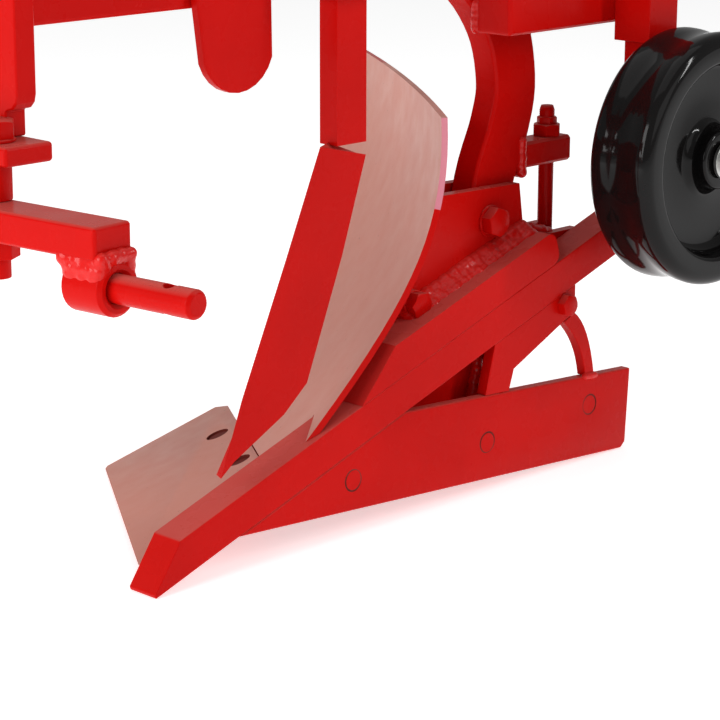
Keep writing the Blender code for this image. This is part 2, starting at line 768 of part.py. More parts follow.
def make_crossbar(root):
    """The crossbar under the lug plates, with a boss and a hitch pin at each end."""
    swing = Matrix.Translation((CROSSBAR_X, HITCH_Y + CROSSBAR_OFFSET, 0)) @ Matrix.Rotation(CROSSBAR_YAW, 4, "Z")

    def swung(piece):
        piece.data.transform(swing)
        return piece

    depth = CROSSBAR_DEPTH / 2
    bottom = CROSSBAR_TOP - CROSSBAR_HEIGHT
    bar = box("crossbar", (-depth, -CROSSBAR_HALF, bottom), (depth, CROSSBAR_HALF, CROSSBAR_TOP))
    finished(chamfered(swung(bar), 0.002), root)
    for side, name in ((1, "left"), (-1, "right")):
        shoulder = side * SHOULDER_SPACING / 2
        inner = shoulder - side * BOSS_LENGTH
        end = shoulder + side * PIN_REACH
        boss = rod_between("hitch_boss_" + name, (0, inner, HITCH_Z), (0, shoulder, HITCH_Z), BOSS_RADIUS)
        bore = rod_between(
            "boss_bore_" + name, (0, inner - side * 0.01, HITCH_Z), (0, shoulder + side * 0.01, HITCH_Z), PIN_RADIUS + CUT_GAP
        )
        cut(swung(boss), as_cutter(swung(bore)))
        finished(rounded_shading(chamfered(boss, 0.003)), root)
        pin = rod_between("hitch_pin_" + name, (0, inner, HITCH_Z), (0, end, HITCH_Z), PIN_RADIUS)
        linch_y = end - side * LINCH_FROM_END
        low = (0, linch_y, HITCH_Z - 0.03)
        high = (0, linch_y, HITCH_Z + 0.03)
        eye = rod_between("linch_hole_" + name, low, high, LINCH_RADIUS, 20)
        chamfered(swung(pin), 0.0025)
        finished(rounded_shading(cut(pin, as_cutter(swung(eye)))), root)

        at_y = HITCH_Y + side * CROSSBAR_BOLT
        at_x = HEADSTOCK_X + (LUG_PLATE_DEPTH * 0.70 if side > 0 else LUG_PLATE_LONG * 0.80)
        low = (at_x, at_y, CROSSBAR_TOP + GAP)
        high = (at_x, at_y, LUG_PLATE_Z - GAP)
        finished(rounded_shading(rod_between("crossbar_spacer_" + name, low, high, SPACER_RADIUS)), root)
        top = (at_x, at_y, bottom - GAP)
        under = (at_x, at_y, bottom - GAP - 0.018)
        nut = hexagon("crossbar_nut_" + name, under, top, CROSSBAR_NUT)
        stub = rod_between("bolt_end_" + name, (at_x, at_y, bottom - 0.034), (at_x, at_y, bottom - 0.010), 0.010)
        finished(cut(nut, as_cutter(stub), "UNION"), root)


def make_gauge_wheel(root):
    """The wheel bracket and socket, the stem that slides in it, its axle and the wheel."""
    bracket_low = (WHEEL_X - 0.022, LEG_LEFT_Y + GAP, (STEM_SOCKET_LOW + STEM_SOCKET_HIGH - BRACKET_SIDE) / 2)
    bracket_high = (BRACKET_FRONT_X, BRACKET_LEFT_Y, bracket_low[2] + BRACKET_SIDE)
    finished(chamfered(box("wheel_bracket", bracket_low, bracket_high), 0.003), root)
    half = STEM_SOCKET_SIDE / 2
    inner = STEM_SIDE / 2 + STEM_CLEARANCE
    socket = box(
        "stem_socket", (STEM_X - half, STEM_Y - half, STEM_SOCKET_LOW), (STEM_X + half, STEM_Y + half, STEM_SOCKET_HIGH)
    )
    slot = box("stem_slot", (STEM_X - inner, STEM_Y - inner, 0.3), (STEM_X + inner, STEM_Y + inner, 0.7))
    cut(socket, as_cutter(slot))
    middle = (STEM_SOCKET_LOW + STEM_SOCKET_HIGH) / 2
    tip = (STEM_X - STEM_SIDE / 2 - CUT_GAP, STEM_Y, middle)
    set_screw("stem_set_screw", socket, tip, (STEM_X - half - GAP, STEM_Y, middle), root)
    finished(socket, root)

    slider = bpy.data.objects.new("wheel_slide", None)
    slider.location = (STEM_X, STEM_Y, WHEEL_Z)
    PLOUGH.objects.link(slider)
    slider.parent = root
    side = STEM_SIDE / 2
    stem = box("wheel_stem", (-side, -side, -STEM_BELOW_AXLE), (side, side, STEM_TOP - WHEEL_Z))
    finished(chamfered(stem, 0.0015), slider)
    near = WHEEL_FAR_Y + WHEEL_WIDTH - STEM_Y
    axle = rod_between("wheel_axle", (0, side + GAP, 0), (0, near + 0.010, 0), AXLE_RADIUS)
    collar = rod_between("axle_collar", (0, side + GAP, 0), (0, WHEEL_FAR_Y - STEM_Y - 0.0015, 0), 0.020)
    cap = rod_between("axle_cap", (0, near + 0.003, 0), (0, near + 0.009, 0), 0.019)
    for extra in (collar, cap):
        as_cutter(extra)
        extra.parent = slider
        cut(axle, extra, "UNION")
    finished(axle, slider, STEEL)

    wheel = turned("gauge_wheel", wheel_profile())
    wheel.location = (0, WHEEL_FAR_Y + WHEEL_WIDTH / 2 - STEM_Y, 0)
    wheel.rotation_euler = (math.pi / 2, 0, 0)
    finished(wheel, slider, BLACK)


def wheel_profile():
    """Half of the wheel's section as (radius, height) from the top of the outside down, then up the bore."""
    half = WHEEL_WIDTH / 2
    outer = WHEEL_RADIUS
    shoulder = 0.010
    ring = outer - 0.026
    dish = half - 0.016
    hub = 0.030
    bore = AXLE_RADIUS + AXLE_CLEARANCE
    upper = [(bore, half + 0.001), (hub, half + 0.001), (hub + 0.006, dish), (ring - 0.012, dish), (ring, half - 0.002)]
    upper += [(r, h) for r, h in arc((outer - shoulder, half - shoulder), shoulder, 90, 0, 4)]
    upper += [(outer - 0.0015, 0.012)]
    return upper + [(r, -h) for r, h in upper[::-1]]


def turned(name, profile, steps=64):
    """A closed ring turned about its own Z from a profile given down its outer side."""
    shape = bmesh.new()
    verts = [shape.verts.new((r, 0, h)) for r, h in profile]
    for i, vert in enumerate(verts):
        shape.edges.new((vert, verts[(i + 1) % len(verts)]))
    piece = mesh_piece(name, shape)
    screw = piece.modifiers.new("turn", "SCREW")
    screw.axis = "Z"
    screw.steps = steps
    screw.render_steps = steps
    screw.use_merge_vertices = True
    screw.merge_threshold = 0.00001
    return piece


def solid_box():
    """Lowest and highest corner of every part, in the world."""
    bpy.context.view_layer.update()
    graph = bpy.context.evaluated_depsgraph_get()
    corners = []
    for piece in PLOUGH.objects:
        if piece.type != "EMPTY":
            shown = piece.evaluated_get(graph)
            corners += [shown.matrix_world @ vert.co for vert in shown.data.vertices]
    low = Vector([min(c[i] for c in corners) for i in range(3)])
    high = Vector([max(c[i] for c in corners) for i in range(3)])
    return low, high


def stand_on_origin(root):
    """Moves the plough, and the cutters with it, so that the origin is under the middle of its box."""
    low, high = solid_box()
    root.location = (-(low.x + high.x) / 2, -(low.y + high.y) / 2, -low.z)
    for cutter in CUTTERS.objects:
        if cutter.parent is None:
            cutter.parent = root
    bpy.context.view_layer.update()
    print("size", [round(v, 4) for v in high - low], "shift", [round(v, 5) for v in root.location])


clear_scene()
PLOUGH = new_collection("moldboard_plough")
CUTTERS = new_collection("cutters")


def main():
    root = bpy.data.objects.new("plough_origin", None)
    PLOUGH.objects.link(root)
    bar_space, moldboard_space = make_cutters()
    make_bar_point(root)
    make_landside(root)
    make_frog(root, moldboard_space)
    make_landside_brace(root)
    make_share(root, bar_space)
    make_moldboard(root, bar_space, moldboard_space)
    make_beam(root)
    make_pitch_rod(root)
    make_coulter(root)
    make_headstock(root)
    make_crossbar(root)
    make_gauge_wheel(root)
    stand_on_origin(root)


main()
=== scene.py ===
# %% [markdown]
# # A single-furrow moldboard plough
#
# The real plough is welded from cut steel plate and bar, bolted together, and sprayed in gloss red.
# Only the gauge wheel is black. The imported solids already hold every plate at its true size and
# place, so this lesson keeps those shapes, rounds their edges as a coat of paint does, and adds what
# solids leave out: bolt heads, weld beads, thread, a pressed wheel, and the finishes.

# %% Load the fixed frame
import json
import math
import random

import bpy
from mathutils import Matrix, Vector

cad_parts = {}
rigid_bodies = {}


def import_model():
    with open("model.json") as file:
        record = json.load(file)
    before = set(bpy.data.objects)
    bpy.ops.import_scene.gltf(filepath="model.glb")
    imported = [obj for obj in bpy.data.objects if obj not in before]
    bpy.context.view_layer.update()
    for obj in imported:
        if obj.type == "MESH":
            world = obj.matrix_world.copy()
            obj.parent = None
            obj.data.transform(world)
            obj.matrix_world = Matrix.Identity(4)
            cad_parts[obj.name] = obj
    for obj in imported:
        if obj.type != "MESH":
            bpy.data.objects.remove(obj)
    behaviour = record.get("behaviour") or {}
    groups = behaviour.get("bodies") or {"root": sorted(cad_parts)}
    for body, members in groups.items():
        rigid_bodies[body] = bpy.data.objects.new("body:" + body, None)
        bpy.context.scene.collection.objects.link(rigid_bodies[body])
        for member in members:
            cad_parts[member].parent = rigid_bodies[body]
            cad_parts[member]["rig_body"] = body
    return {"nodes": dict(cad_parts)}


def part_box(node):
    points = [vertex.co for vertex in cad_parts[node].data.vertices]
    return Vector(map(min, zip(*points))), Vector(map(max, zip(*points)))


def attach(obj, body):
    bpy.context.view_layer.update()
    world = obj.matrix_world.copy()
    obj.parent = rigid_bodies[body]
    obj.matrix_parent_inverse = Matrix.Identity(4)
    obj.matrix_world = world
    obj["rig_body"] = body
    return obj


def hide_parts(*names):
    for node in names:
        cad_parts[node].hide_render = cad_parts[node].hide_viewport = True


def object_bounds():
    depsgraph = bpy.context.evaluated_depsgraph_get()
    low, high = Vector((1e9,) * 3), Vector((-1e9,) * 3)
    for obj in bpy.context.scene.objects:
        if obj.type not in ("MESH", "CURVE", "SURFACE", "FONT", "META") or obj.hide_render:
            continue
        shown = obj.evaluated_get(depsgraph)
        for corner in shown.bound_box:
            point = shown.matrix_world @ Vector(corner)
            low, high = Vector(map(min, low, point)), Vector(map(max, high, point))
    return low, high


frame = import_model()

bpy.ops.object.select_all(action="DESELECT")
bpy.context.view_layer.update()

# %% [markdown]
# Every place below is given from two easy marks on the plough: the tip of the point, and the flat
# outer face of the landside. Both marks come from the solids. The places of bolts and welds are then
# given against them, and so are the camera, the lights and the colours.

# %% A ruler that starts at the tip
HEADSTOCK_TO_TIP = 0.193
tip = Vector((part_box("headstock_plate")[0].x - HEADSTOCK_TO_TIP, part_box("landside")[1].y, 0.0))


def at(x, y, z):
    """A place measured from the tip: forward, towards the land, and up, in metres."""
    return tip + Vector((x, y, z))


print("tip stands at", [round(v, 4) for v in tip])

# %% [markdown]
# The camera stands at the front left, a little above the beam, with a long lens so that the bars
# keep nearly parallel edges. Its angles are a heading round the plough and a tilt down.

# %% Camera
HEADING = math.radians(134.47)
TILT = math.radians(75.16)
ROLL = 0.00263
bpy.ops.object.camera_add(location=at(1.3370, 1.5596, 0.7581))
camera = bpy.context.object
camera.name = "studio_camera"
turn = Matrix.Rotation(HEADING, 3, "Z") @ Matrix.Rotation(TILT, 3, "X")
turn = turn @ Matrix.Rotation(ROLL, 3, "Z")
camera.rotation_euler = turn.to_euler()
camera.data.lens = 125
camera.data.sensor_width = 36
bpy.context.scene.camera = camera
print("camera at", [round(v, 3) for v in camera.location])

# %% [markdown]
# A pale floor and an even, pale surrounding give the plough a plain studio. Three wide soft boxes do
# the shaping: one in front for the faces that look ahead, a weaker one on the land side, and one
# overhead. A narrow strip behind the wheel leaves the long highlight that its black gloss needs.

# %% Floor, surroundings and soft boxes
bpy.context.scene.view_settings.view_transform = "Standard"


def soft_box(name, place, aim, size, watts):
    bpy.ops.object.light_add(type="AREA", location=place)
    light = bpy.context.object
    light.name = name
    light.data.shape = "RECTANGLE"
    light.data.size, light.data.size_y = size
    light.data.energy = watts
    light.rotation_euler = (Vector(aim) - Vector(place)).to_track_quat("-Z", "Y").to_euler()
    return light


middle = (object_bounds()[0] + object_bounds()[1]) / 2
wheel_mark = (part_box("gauge_wheel")[0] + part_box("gauge_wheel")[1]) / 2
soft_box("front_box", at(3.2, -0.3, 1.5), middle, (2.4, 2.0), 92)
soft_box("land_box", at(-0.4, 3.2, 1.6), middle, (2.6, 1.6), 12)
soft_box("top_box", at(-0.2, -0.2, 3.2), middle, (3.0, 3.0), 18)
soft_box("wheel_strip", at(-1.6, 2.2, 1.9), wheel_mark, (0.16, 1.6), 26)

FLOOR_SIZE = 60
FLOOR_DROP = 0.0006
bpy.ops.mesh.primitive_plane_add(size=FLOOR_SIZE, location=(0, 0, -FLOOR_DROP))
floor = bpy.context.object
floor.name = "studio_floor"
floor_finish = bpy.data.materials.new("pale_floor")
floor_finish.use_nodes = True
floor_shader = floor_finish.node_tree.nodes["Principled BSDF"]
floor_shader.inputs["Base Color"].default_value = (0.93, 0.93, 0.93, 1)
floor_shader.inputs["Roughness"].default_value = 0.9
floor_shader.inputs["Specular IOR Level"].default_value = 0.0
floor_shader.inputs["Emission Color"].default_value = (1, 1, 1, 1)
floor_shader.inputs["Emission Strength"].default_value = 0.55
floor.data.materials.append(floor_finish)
world = bpy.data.worlds.new("studio_surroundings")
bpy.context.scene.world = world
world.use_nodes = True
world.node_tree.nodes["Background"].inputs["Color"].default_value = (1, 1, 1, 1)
world.node_tree.nodes["Background"].inputs["Strength"].default_value = 0.34

# %% [markdown]
# Sprayed gloss paint is never one flat colour. Up close it has a faint orange-peel ripple, slow
# drifts in tone where the coat is thicker, a few specks, and a paler colour on faces that look up,
# which is field dust plus a painted sheen of the light from above.
# All four come from noise on Object coordinates, so they stay put on every plate. One builder makes
# each paint, and only its colours and amounts change.

# %% Paint builder
RIPPLE_DEPTH = 0.0006
SPECK_SHADE = 0.25


def paint(name, colour, dust_and_sheen_colour, dust_and_sheen_amount, roughness, ripple, speck=0.0, gloss=0.5, drift=0.88):
    """A sprayed finish; faces that look up blend towards the colour given after the paint's own, field dust
    plus a painted sheen, by the amount given after that.

    drift is how dark the deep patches are against the colour, and gloss is the specular level.
    """
    finish = bpy.data.materials.new(name)
    finish.use_nodes = True
    nodes = finish.node_tree.nodes
    join = finish.node_tree.links.new
    shader = nodes["Principled BSDF"]
    place = nodes.new("ShaderNodeTexCoord").outputs["Object"]

    def noise(scale, detail=3.0):
        node = nodes.new("ShaderNodeTexNoise")
        node.inputs["Scale"].default_value = scale
        node.inputs["Detail"].default_value = detail
        join(place, node.inputs["Vector"])
        return node.outputs["Fac"]

    def stretch(value, low, high, new_low, new_high):
        node = nodes.new("ShaderNodeMapRange")
        join(value, node.inputs["Value"])
        limits = (low, high, new_low, new_high)
        for key, number in zip(("From Min", "From Max", "To Min", "To Max"), limits):
            node.inputs[key].default_value = number
        return node.outputs["Result"]

    def blend(amount, first, second):
        node = nodes.new("ShaderNodeMix")
        node.data_type = "RGBA"
        join(amount, node.inputs["Factor"])
        for socket, value in ((node.inputs["A"], first), (node.inputs["B"], second)):
            if hasattr(value, "is_linked"):
                join(value, socket)
            else:
                socket.default_value = (*value, 1)
        return node.outputs["Result"]

    deep = tuple(c * drift for c in colour)
    shown = blend(stretch(noise(7.0), 0.35, 0.65, 0.0, 1.0), deep, colour)
    # Faces that look up turn towards the paler colour: field dust plus a painted sheen of the top light.
    if dust_and_sheen_amount > 0:
        look = nodes.new("ShaderNodeSeparateXYZ")
        join(nodes.new("ShaderNodeNewGeometry").outputs["Normal"], look.inputs["Vector"])
        lying = nodes.new("ShaderNodeMath")
        lying.operation = "MULTIPLY"
        join(stretch(look.outputs["Z"], 0.55, 0.96, 0.0, dust_and_sheen_amount), lying.inputs[0])
        join(stretch(noise(26.0, 5.0), 0.3, 0.7, 0.82, 1.0), lying.inputs[1])
        shown = blend(lying.outputs["Value"], shown, dust_and_sheen_colour)
    if speck > 0:
        spots = stretch(noise(190.0, 2.0), 0.735, 0.765, 0.0, speck)
        shown = blend(spots, shown, tuple(c * SPECK_SHADE for c in colour))
    join(shown, shader.inputs["Base Color"])
    uneven = stretch(noise(40.0, 4.0), 0.3, 0.7, roughness * 0.85, roughness * 1.2)
    join(uneven, shader.inputs["Roughness"])
    bump = nodes.new("ShaderNodeBump")
    bump.inputs["Strength"].default_value = ripple
    bump.inputs["Distance"].default_value = RIPPLE_DEPTH
    join(noise(230.0, 2.0), bump.inputs["Height"])
    join(bump.outputs["Normal"], shader.inputs["Normal"])
    shader.inputs["Specular IOR Level"].default_value = gloss
    return finish


# %% [markdown]
# The frame, beam and point carry the full red. The share and the moldboard's soil face carry the
# same red under a dusty bloom that turns it to a soft brick pink. Welds use a brighter, specked red,
# and the bottoms of bolt recesses get a dark red-brown painted shade.

# %% The plough's finishes
RED = (0.52, 0.0034, 0.0022)
BLOOM = (0.56, 0.235, 0.180)
# The next two colours lie on faces that look up: field dust plus a painted sheen of the top light.
DUST_AND_SHEEN = (0.50, 0.115, 0.095)
BLOOM_DUST_AND_SHEEN = (0.60, 0.27, 0.21)
WELD = (0.60, 0.0060, 0.0045)
# The next colour is a dark painted shade for the insides of recesses.
RECESS_SHADE = (0.13, 0.012, 0.006)
BLACK = (0.005, 0.0045, 0.0045)
ZINC = (0.55, 0.55, 0.53)
NO_DUST_AND_SHEEN = (0, 0, 0)
gloss_red = paint("gloss_red_paint", RED, DUST_AND_SHEEN, 0.66, 0.27, 0.07, 0.0, 0.055)
bloomed_red = paint("bloomed_red_paint", BLOOM, BLOOM_DUST_AND_SHEEN, 0.3, 0.40, 0.10, 0.55, 0.30, 0.95)
weld_red = paint("weld_red_paint", WELD, DUST_AND_SHEEN, 0.15, 0.24, 0.30, 0.35, 0.26)
shaded_recess_red = paint("painted_shade_recess", RECESS_SHADE, DUST_AND_SHEEN, 0.0, 0.6, 0.5, 0.0, 0.3)
gloss_black = paint("gloss_black_paint", BLACK, NO_DUST_AND_SHEEN, 0.0, 0.09, 0.04, 0.0, 0.16)
zinc_steel = paint("zinc_plated_steel", ZINC, NO_DUST_AND_SHEEN, 0.0, 0.32, 0.3, 0.0, 0.5)
zinc_steel.node_tree.nodes["Principled BSDF"].inputs["Metallic"].default_value = 1.0
print("finishes", [m.name for m in bpy.data.materials])

# %% [markdown]
# A new piece always ends the same way: its move is applied so that its place is in the mesh, it gets
# a finish, and it rides on the body that carries it. apply_all does the first, and hand_over the rest. One
# helper does that for all of them.


def choose(piece):
    """Selects this piece and nothing else."""
    bpy.ops.object.select_all(action="DESELECT")
    piece.select_set(True)
    bpy.context.view_layer.objects.active = piece


def apply_all(piece):
    """Applies the piece's move, turn and modifiers."""
    choose(piece)
    bpy.ops.object.transform_apply(location=True, rotation=True, scale=True)
    for modifier in list(piece.modifiers):
        bpy.ops.object.modifier_apply(modifier=modifier.name)


def hand_over(piece, name, finish, body="plough", stands_for=()):
    """Names, finishes and files a piece that is done."""
    piece.name = name
    piece.data.name = name
    if not any(piece.data.materials):
        piece.data.materials.clear()
        piece.data.materials.append(finish)
    bpy.ops.object.select_all(action="DESELECT")
    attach(piece, body)
    if stands_for:
        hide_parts(*stands_for)
    return piece


def carve(piece, cutter, operation="DIFFERENCE"):
    """Cuts the piece with another one, which is then removed. The cut keeps the cutter's finish."""
    change = piece.modifiers.new("carve", "BOOLEAN")
    change.operation = operation
    change.object = cutter
    change.solver = "EXACT"
    change.material_mode = "TRANSFER"
    choose(piece)
    bpy.ops.object.modifier_apply(modifier=change.name)
    bpy.data.objects.remove(cutter)


def facing(direction):
    """The turn that brings +Z onto this direction."""
    return Vector(direction).to_track_quat("Z", "Y").to_euler()


# %% [markdown]
# Cut plate has sharp edges in the solids, but real plate is dressed with a grinder and then takes a
# coat that pulls back from the corner. A narrow bevel on a copy of each solid gives that line of
# light. The copy is merged and its flat faces joined first, because a bevel needs whole edges, and
# weighted normals keep the big faces perfectly flat after it.

# %% Round the edges of every plate
MERGE_WITHIN = 0.00001


def rounded_copy(node, width, finish, sharp_from=28, join_flats=True):
    """A copy of a solid with dressed edges, which stands for it."""
    source = frame["nodes"][node]
    body = source["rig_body"] if "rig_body" in source else "plough"
    piece = bpy.data.objects.new(node + "_painted", source.data.copy())
    bpy.context.scene.collection.objects.link(piece)
    piece.data.materials.clear()
    choose(piece)
    bpy.ops.mesh.customdata_custom_splitnormals_clear()
    bpy.ops.object.mode_set(mode="EDIT")
    bpy.ops.mesh.select_all(action="SELECT")
    bpy.ops.mesh.remove_doubles(threshold=MERGE_WITHIN)
    if join_flats:
        bpy.ops.mesh.dissolve_limited(angle_limit=math.radians(0.4))
    else:
        bpy.ops.mesh.tris_convert_to_quads()
    bpy.ops.mesh.normals_make_consistent(inside=False)
    bpy.ops.object.mode_set(mode="OBJECT")
    edge = piece.modifiers.new("dressed", "BEVEL")
    edge.width = width
    edge.segments = 3
    edge.limit_method = "ANGLE"
    edge.angle_limit = math.radians(sharp_from)
    edge.use_clamp_overlap = True
    bpy.ops.object.modifier_apply(modifier=edge.name)
    bpy.ops.object.shade_smooth_by_angle(angle=math.radians(34))
    flat = piece.modifiers.new("flats", "WEIGHTED_NORMAL")
    flat.keep_sharp = True
    bpy.ops.object.modifier_apply(modifier=flat.name)
    return hand_over(piece, node + "_painted", finish, body, [node])


OWN_SHAPES = ("gauge_wheel", "wheel_axle", "pitch_rod", "pitch_nut", "top_link_pin")
PLAIN_EDGE = 0.0008
EDGE_WIDTH = {
    "bar_point": 0.0011,
    "share": 0.0007,
    "moldboard": 0.0010,
    "beam": 0.0016,
    "crossbar": 0.0014,
}
painted = {}
for node in sorted(frame["nodes"]):
    if node in OWN_SHAPES:
        continue
    finish = bloomed_red if node in ("share", "moldboard") else gloss_red
    width = EDGE_WIDTH.get(node, PLAIN_EDGE)
    painted[node] = rounded_copy(node, width, finish, join_flats=node != "moldboard")
print("painted plates", len(painted))

# %% [markdown]
# Bloom, with its dust and painted sheen, lies only on the soil faces of the share and the moldboard.
# Their cut edges and backs keep the full red, so those faces get the gloss paint as a second finish,
# chosen by which way each face looks. Part of the moldboard's front edge carries a pale pink painted
# highlight, as a third finish.

# %% Red edges on the share and moldboard
SHARE_FACE = Vector((0.283, -0.261, 0.923))
MOLDBOARD_FACE = Vector((0.74, -0.52, 0.42))
for node, outward, least in (("share", SHARE_FACE, 0.9), ("moldboard", MOLDBOARD_FACE, 0.35)):
    mesh = painted[node].data
    mesh.materials.append(gloss_red)
    for face in mesh.polygons:
        if face.normal.dot(outward) < least:
            face.material_index = 1
    print(node, "red faces", sum(face.material_index for face in mesh.polygons))
# A pale pink painted highlight on a strip of the moldboard's front edge.
edge_highlight_paint = paint("painted_edge_highlight", (0.66, 0.22, 0.28), DUST_AND_SHEEN, 0.0, 0.2, 0.1, 0.8, 0.3)
HIGHLIGHT_FROM, HIGHLIGHT_TO = 0.288, 0.372
HIGHLIGHT_SLOT = 2
board = painted["moldboard"].data
board.materials.append(edge_highlight_paint)
for face in board.polygons:
    on_front_edge = face.normal.y > 0.75 and face.center.y > at(0, -0.016, 0).y
    if on_front_edge and HIGHLIGHT_FROM < face.center.z < HIGHLIGHT_TO:
        face.material_index = HIGHLIGHT_SLOT
print("pale edge faces", sum(face.material_index == HIGHLIGHT_SLOT for face in board.polygons))

# %% [markdown]
# The landside is held by three plough bolts whose heads are sunk flush and painted over. What shows
# is a ring: a shallow groove round each head, deeper on one side where the paint did not fill it. A
# thin torus, tipped a little and subtracted, leaves exactly that.

# %% Ring grooves of the sunk bolt heads


def ring_groove(piece, centre, outward, radius, wire, deep_side, lift=0.35, tip_over=2.5):
    """Cuts a round groove that is deepest towards deep_side."""
    outward = Vector(outward).normalized()
    deep_side = Vector(deep_side) - outward * Vector(deep_side).dot(outward)
    axis = outward.cross(deep_side).normalized()
    tipped = Matrix.Rotation(math.radians(tip_over), 3, axis) @ outward
    bpy.ops.mesh.primitive_torus_add(
        location=Vector(centre) + outward * wire * lift,
        rotation=facing(tipped),
        major_radius=radius,
        minor_radius=wire,
        major_segments=40,
        minor_segments=8,
    )
    cutter = bpy.context.object
    # The groove's walls take the dark painted shade of the recess finish.
    cutter.data.materials.append(shaded_recess_red)
    apply_all(cutter)
    carve(piece, cutter)


LANDSIDE_RINGS = (
    (-0.2433, 0.0540, (1, 0, -1)),
    (-0.4306, 0.0511, (0.2, 0, 1)),
    (-0.5874, 0.0584, (-1, 0, 0.2)),
)
for x, z, deep in LANDSIDE_RINGS:
    ring_groove(painted["landside"], at(x, 0, z), (0, 1, 0), 0.0103, 0.0009, deep)
MOLDBOARD_RINGS = (
    (at(-0.2530, -0.1064, 0.0790), (0.544, -0.428, 0.722), (-1, -1, 0.4)),
    (at(-0.3800, -0.0800, 0.2150), (0.684, -0.497, 0.534), (-0.4, -1, 0)),
)
for place, outward, deep in MOLDBOARD_RINGS:
    ring_groove(painted["moldboard"], place, outward, 0.0115, 0.0010, deep)
print("landside faces after grooves", len(painted["landside"].data.polygons))

# %% [markdown]
# The share's two bolts sit in countersunk holes, darkened with painted shade. Each is a shallow round
# pocket cut square to the share's face, with a plain round head a little below the surface.

# %% Share bolts in their pockets
SQUARE_TO_SHARE = SHARE_FACE.normalized()
POCKET_RADIUS, POCKET_DEPTH = 0.0118, 0.006
HEAD_RADIUS, HEAD_DEPTH = 0.0108, 0.003
for number, place in enumerate((at(-0.2675, -0.2144, 0.0485), at(-0.2040, -0.1140, 0.0564))):
    bpy.ops.mesh.primitive_cylinder_add(
        vertices=40,
        radius=POCKET_RADIUS,
        depth=POCKET_DEPTH,
        location=place - SQUARE_TO_SHARE * 0.0008,
        rotation=facing(SQUARE_TO_SHARE),
    )
    pocket = bpy.context.object
    # The pocket's walls and floor take the dark painted shade.
    pocket.data.materials.append(shaded_recess_red)
    apply_all(pocket)
    carve(painted["share"], pocket)
    bpy.ops.mesh.primitive_cylinder_add(
        vertices=40,
        radius=HEAD_RADIUS,
        depth=HEAD_DEPTH,
        location=place - SQUARE_TO_SHARE * 0.0034,
        rotation=facing(SQUARE_TO_SHARE),
    )
    head = bpy.context.object
    head.modifiers.new("edge", "BEVEL").width = 0.0008
    apply_all(head)
    bpy.ops.object.shade_smooth_by_angle(angle=math.radians(40))
    # The sunk head gets the same dark painted shade.
    hand_over(head, f"share_bolt_{number + 1}", shaded_recess_red)
print("share faces", len(painted["share"].data.polygons))

# %% [markdown]
# A hexagon head is a six-sided prism whose corners are turned off on top, so that its top face is a
# circle. Keeping only what lies inside a large ball gives that crown in one step. The head is
# modelled once, one unit across its flats, and each bolt or nut is a scaled copy with its own mesh.

# %% One crowned hexagon, and its copies
bpy.ops.mesh.primitive_cylinder_add(vertices=6, radius=1 / math.sqrt(3), depth=0.45, location=(0, 0, 0.225))
crowned_hexagon = bpy.context.object
bpy.ops.mesh.primitive_uv_sphere_add(segments=48, ring_count=32, radius=1.0, location=(0, 0, -0.42))
ball = bpy.context.object
carve(crowned_hexagon, ball, "INTERSECT")
soften = crowned_hexagon.modifiers.new("soften", "BEVEL")
soften.width = 0.02
soften.segments = 2
soften.angle_limit = math.radians(50)
apply_all(crowned_hexagon)
bpy.ops.object.shade_smooth_by_angle(angle=math.radians(35))


def hexagon(
    name, place, outward, across, finish, washer=0.0, turned=0.0, body="plough", stands_for=(), lift=0.003
):
    """A crowned head whose back sits at place, on a washer of this radius and lift if there is one."""
    piece = bpy.data.objects.new(name, crowned_hexagon.data.copy())
    bpy.context.scene.collection.objects.link(piece)
    if not washer:
        lift = 0.0
    if washer:
        bpy.ops.mesh.primitive_cylinder_add(
            vertices=40,
            radius=washer,
            depth=lift,
            location=place + Vector(outward) * lift / 2,
            rotation=facing(outward),
        )
        ring = bpy.context.object
        ring.modifiers.new("edge", "BEVEL").width = 0.0008
        apply_all(ring)
    aim = Vector(outward).to_track_quat("Z", "Y").to_matrix().to_4x4()
    spin = Matrix.Rotation(math.radians(turned), 4, "Z")
    seat = Matrix.Translation(place + Vector(outward) * lift)
    piece.matrix_world = seat @ aim @ spin @ Matrix.Scale(across, 4)
    apply_all(piece)
    if washer:
        bpy.ops.object.select_all(action="DESELECT")
        ring.select_set(True)
        piece.select_set(True)
        bpy.context.view_layer.objects.active = piece
        bpy.ops.object.join()
    return hand_over(piece, name, finish, body, stands_for)


LAND = (0, 1, 0)
FURROW = (0, -1, 0)
hexagon("cheek_bolt_upper", at(-0.4685, -0.0356, 0.2625), LAND, 0.0265, gloss_red, 0.0158, 10)
hexagon("cheek_bolt_lower", at(-0.3535, -0.0356, 0.1990), LAND, 0.0240, gloss_red, 0.0140, 25, lift=0.009)
hexagon("foot_bolt", at(-0.5455, -0.0014, 0.1705), LAND, 0.0200, gloss_red, 0.0, 15)
hexagon("strut_bolt", at(-0.260, -0.0874, 0.530), FURROW, 0.024, gloss_red, 0.015, 0)
hexagon("cheek_nut_upper", at(-0.4727, -0.0895, 0.2612), FURROW, 0.030, gloss_red, 0.0165, 4)
hexagon("cheek_nut_lower", at(-0.4200, -0.0895, 0.2080), FURROW, 0.028, gloss_red, 0.0, 12)
for side, y in (("left", 0.088), ("right", -0.336)):
    x = 0.2245 if side == "left" else 0.265
    hexagon(f"lug_bolt_{side}", at(x, y, 0.4408), (0, 0, 1), 0.030, gloss_red, 0.0165, 20)

# %% [markdown]
# Round parts come from one idea: draw half of the outline once, and sweep it round its axis. A grid
# has just the right faces for that. Its rows follow the outline, its columns go round, and the last
# column lands on the first, where merging by distance closes the seam.

# %% Turned parts


